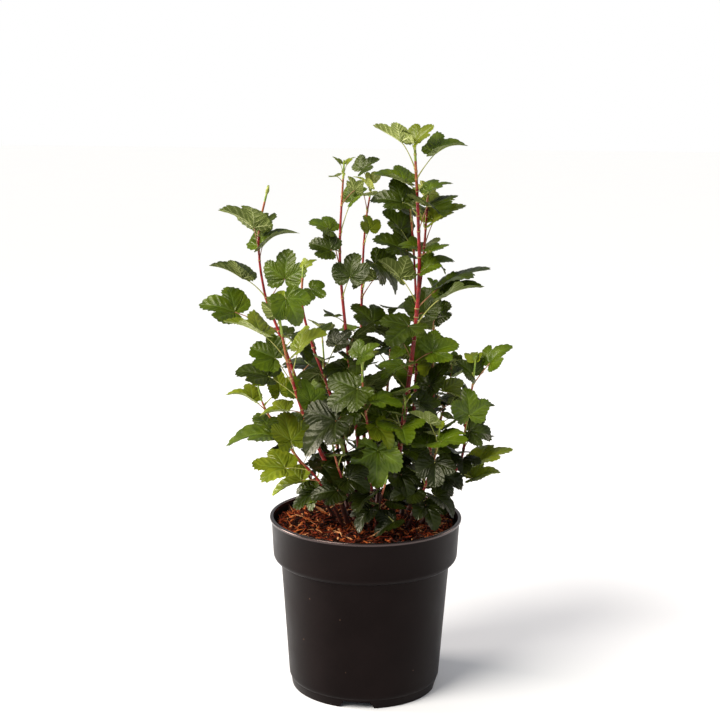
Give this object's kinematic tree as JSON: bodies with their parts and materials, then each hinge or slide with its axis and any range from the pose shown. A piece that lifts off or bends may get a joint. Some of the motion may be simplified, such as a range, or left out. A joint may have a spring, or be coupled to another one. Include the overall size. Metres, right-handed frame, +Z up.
{
  "type": "potted flowering currant",
  "caption": "Many-stemmed flowering currant in leaf, with lobed leaves on thin stalks, standing in bark mulch in a round banded nursery pot.",
  "frame": {"origin": "centre of the pot's flat underside, on the face of the middle pad", "axes": "+Z up along the pot's axis, -Y towards the side shown in the picture, +X to the viewer's right"},
  "size_m": [0.3723, 0.2523, 0.6707],
  "materials": {
    "pot": "near-black, slightly glossy",
    "mulch": "shredded red-brown bark",
    "bark": "smooth dark red-brown bark",
    "foliage": "dark green leaves, yellow-green when young"
  },
  "bodies": {
    "root": {"pot": "pot", "mulch": "mulch", "tall_right_bough": "bark", "tall_right_foliage": "foliage", "tall_middle_bough": "bark", "tall_middle_foliage": "foliage", "tall_left_bough": "bark", "tall_left_foliage": "foliage", "front_left_bough": "bark", "front_left_foliage": "foliage", "inner_left_bough": "bark", "inner_left_foliage": "foliage", "back_middle_bough": "bark", "back_middle_foliage": "foliage", "back_right_bough": "bark", "back_right_foliage": "foliage", "right_middle_bough": "bark", "right_middle_foliage": "foliage", "far_right_bough": "bark", "far_right_foliage": "foliage", "far_left_low_bough": "bark", "far_left_low_foliage": "foliage", "front_low_left_bough": "bark", "front_low_left_foliage": "foliage", "front_short_bough": "bark", "front_short_foliage": "foliage", "low_front_bough": "bark", "low_front_foliage": "foliage", "low_right_bough": "bark", "low_right_foliage": "foliage", "low_middle_bough": "bark", "low_middle_foliage": "foliage", "low_left_bough": "bark", "low_left_foliage": "foliage", "rear_left_bough": "bark", "rear_left_foliage": "foliage", "rear_middle_bough": "bark", "rear_middle_foliage": "foliage", "rear_right_bough": "bark", "rear_right_foliage": "foliage"}
  },
  "joints": []
}
